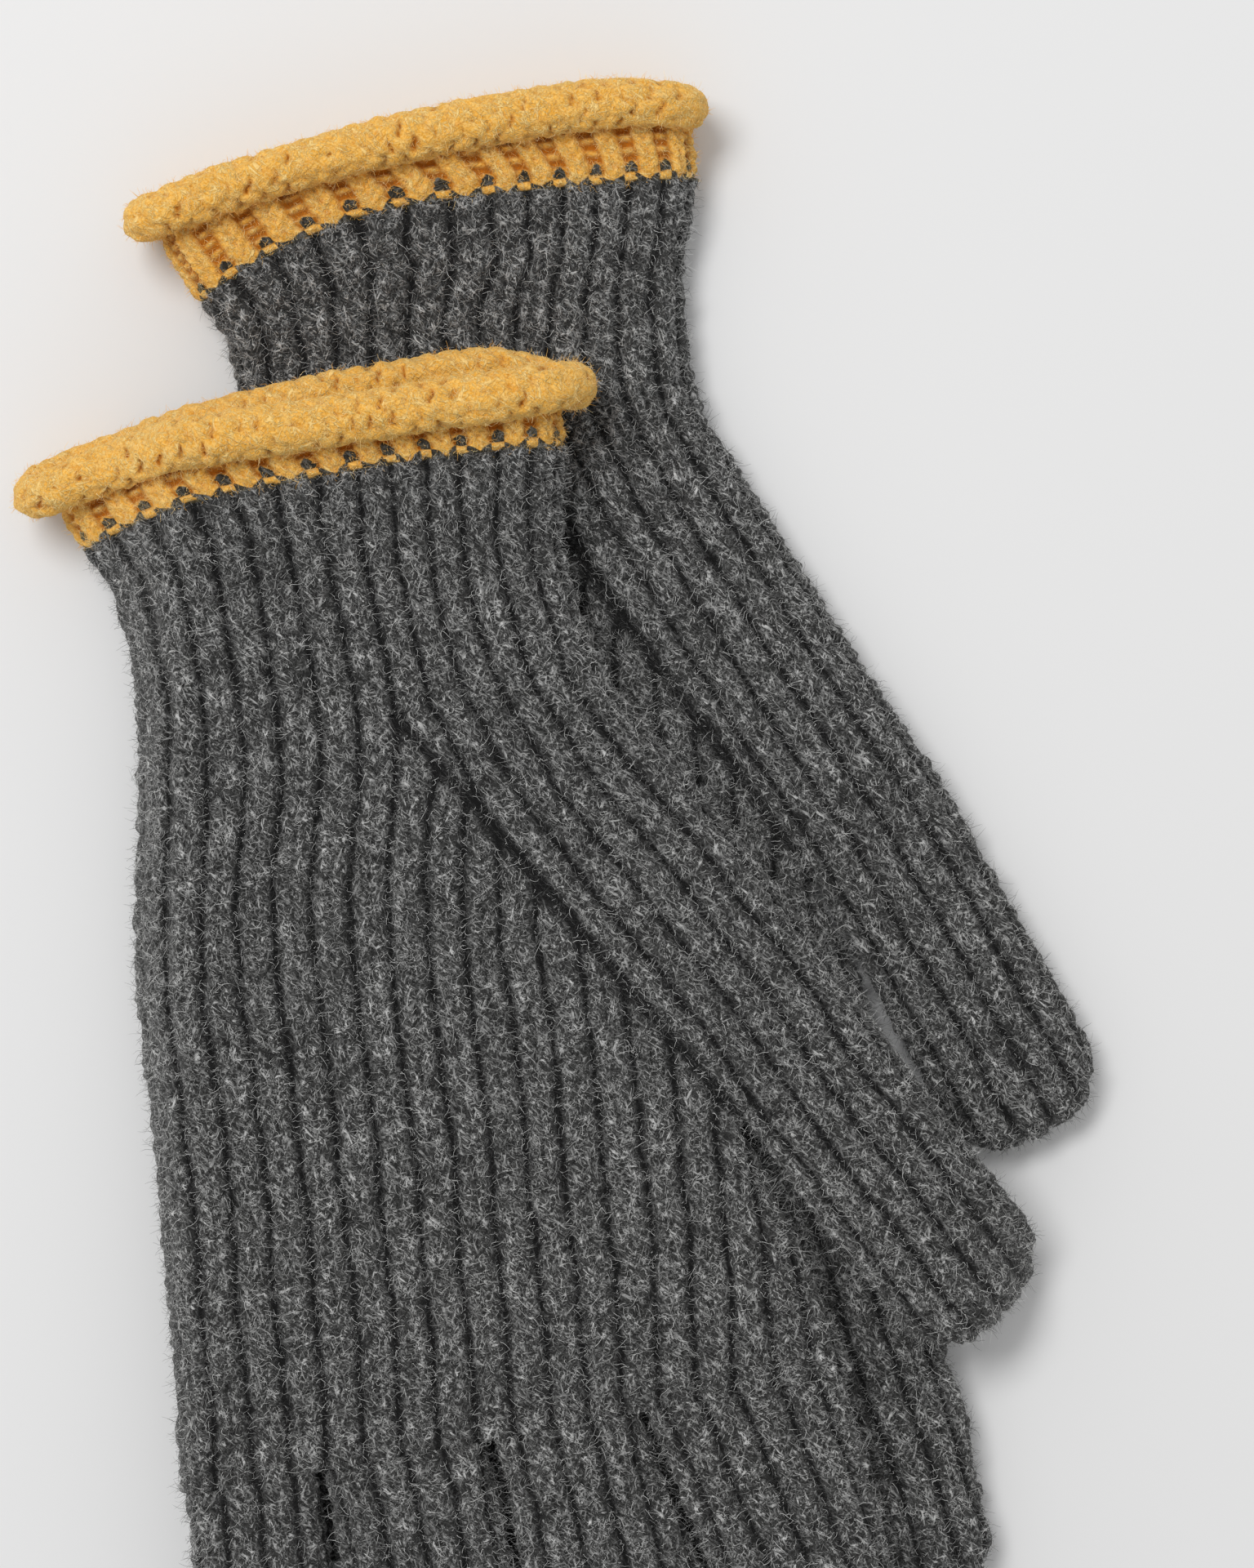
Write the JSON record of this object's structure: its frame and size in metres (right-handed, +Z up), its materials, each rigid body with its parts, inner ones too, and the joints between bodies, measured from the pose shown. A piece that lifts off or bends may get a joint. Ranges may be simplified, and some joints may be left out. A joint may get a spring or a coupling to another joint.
{
  "type": "knitted gloves",
  "caption": "Pair of ribbed wool gloves with rolled cuff edges in a contrast yarn, lying flat with one across the other; the digits bend.",
  "frame": {"origin": "on the surface the gloves lie on, under the middle of the pair's overall box", "axes": "+Z up, away from the surface; -Y towards the left glove's fingertips, along its length; +X to the side of both thumbs"},
  "size_m": [0.1628, 0.3066, 0.0332],
  "materials": {
    "charcoal_wool": "brushed, marled charcoal lambswool in a one-by-one rib",
    "mustard_wool": "brushed mustard lambswool, rolled purl face and one-by-one rib"
  },
  "bodies": {
    "right_hand": {"right_rolled_edge": "mustard_wool", "right_contrast_band": "mustard_wool", "right_wrist": "charcoal_wool", "right_palm": "charcoal_wool", "right_thumb_gusset": "charcoal_wool"},
    "right_thumb": {"right_thumb": "charcoal_wool"},
    "right_index_finger": {"right_index_finger": "charcoal_wool"},
    "right_middle_finger": {"right_middle_finger": "charcoal_wool"},
    "right_ring_finger": {"right_ring_finger": "charcoal_wool"},
    "right_little_finger": {"right_little_finger": "charcoal_wool"},
    "left_hand": {"left_rolled_edge": "mustard_wool", "left_contrast_band": "mustard_wool", "left_wrist": "charcoal_wool", "left_palm": "charcoal_wool", "left_thumb_gusset": "charcoal_wool"},
    "left_thumb": {"left_thumb": "charcoal_wool"},
    "left_index_finger": {"left_index_finger": "charcoal_wool"},
    "left_middle_finger": {"left_middle_finger": "charcoal_wool"},
    "left_ring_finger": {"left_ring_finger": "charcoal_wool"},
    "left_little_finger": {"left_little_finger": "charcoal_wool"}
  },
  "joints": [
    {"name": "left_glove_lift", "type": "slide", "parent": "right_hand", "child": "left_hand", "axis": [0, 0, 1], "range_m": [0, 0.05]},
    {"name": "right_thumb_bend", "type": "hinge", "parent": "right_hand", "child": "right_thumb", "pos_m": [0.05207, 0.02054, 0], "axis": [0.9426, 0.3338, 0], "range_deg": [0, 60]},
    {"name": "right_index_finger_bend", "type": "hinge", "parent": "right_hand", "child": "right_index_finger", "pos_m": [0.02887, -0.02685, 0], "axis": [0.9976, -0.0698, 0], "range_deg": [0, 80]},
    {"name": "right_middle_finger_bend", "type": "hinge", "parent": "right_hand", "child": "right_middle_finger", "pos_m": [-0.00046, -0.0248, 0], "axis": [0.9976, -0.0698, 0], "range_deg": [0, 80]},
    {"name": "right_ring_finger_bend", "type": "hinge", "parent": "right_hand", "child": "right_ring_finger", "pos_m": [-0.0267, -0.02296, 0], "axis": [0.9976, -0.0698, 0], "range_deg": [0, 80]},
    {"name": "right_little_finger_bend", "type": "hinge", "parent": "right_hand", "child": "right_little_finger", "pos_m": [-0.05188, -0.0212, 0], "axis": [0.9976, -0.0698, 0], "range_deg": [0, 80]},
    {"name": "left_thumb_bend", "type": "hinge", "parent": "left_hand", "child": "left_thumb", "pos_m": [0.03381, -0.01642, 0.0224], "axis": [-0.8886, -0.4586, 0], "range_deg": [0, 60]},
    {"name": "left_index_finger_bend", "type": "hinge", "parent": "left_hand", "child": "left_index_finger", "pos_m": [0.01435, -0.06613, 0.0224], "axis": [-1, 0, 0], "range_deg": [0, 80]},
    {"name": "left_middle_finger_bend", "type": "hinge", "parent": "left_hand", "child": "left_middle_finger", "pos_m": [-0.01505, -0.06613, 0.0224], "axis": [-1, 0, 0], "range_deg": [0, 80]},
    {"name": "left_ring_finger_bend", "type": "hinge", "parent": "left_hand", "child": "left_ring_finger", "pos_m": [-0.04135, -0.06613, 0.0224], "axis": [-1, 0, 0], "range_deg": [0, 80]},
    {"name": "left_little_finger_bend", "type": "hinge", "parent": "left_hand", "child": "left_little_finger", "pos_m": [-0.0666, -0.06613, 0.0224], "axis": [-1, 0, 0], "range_deg": [0, 80]}
  ]
}
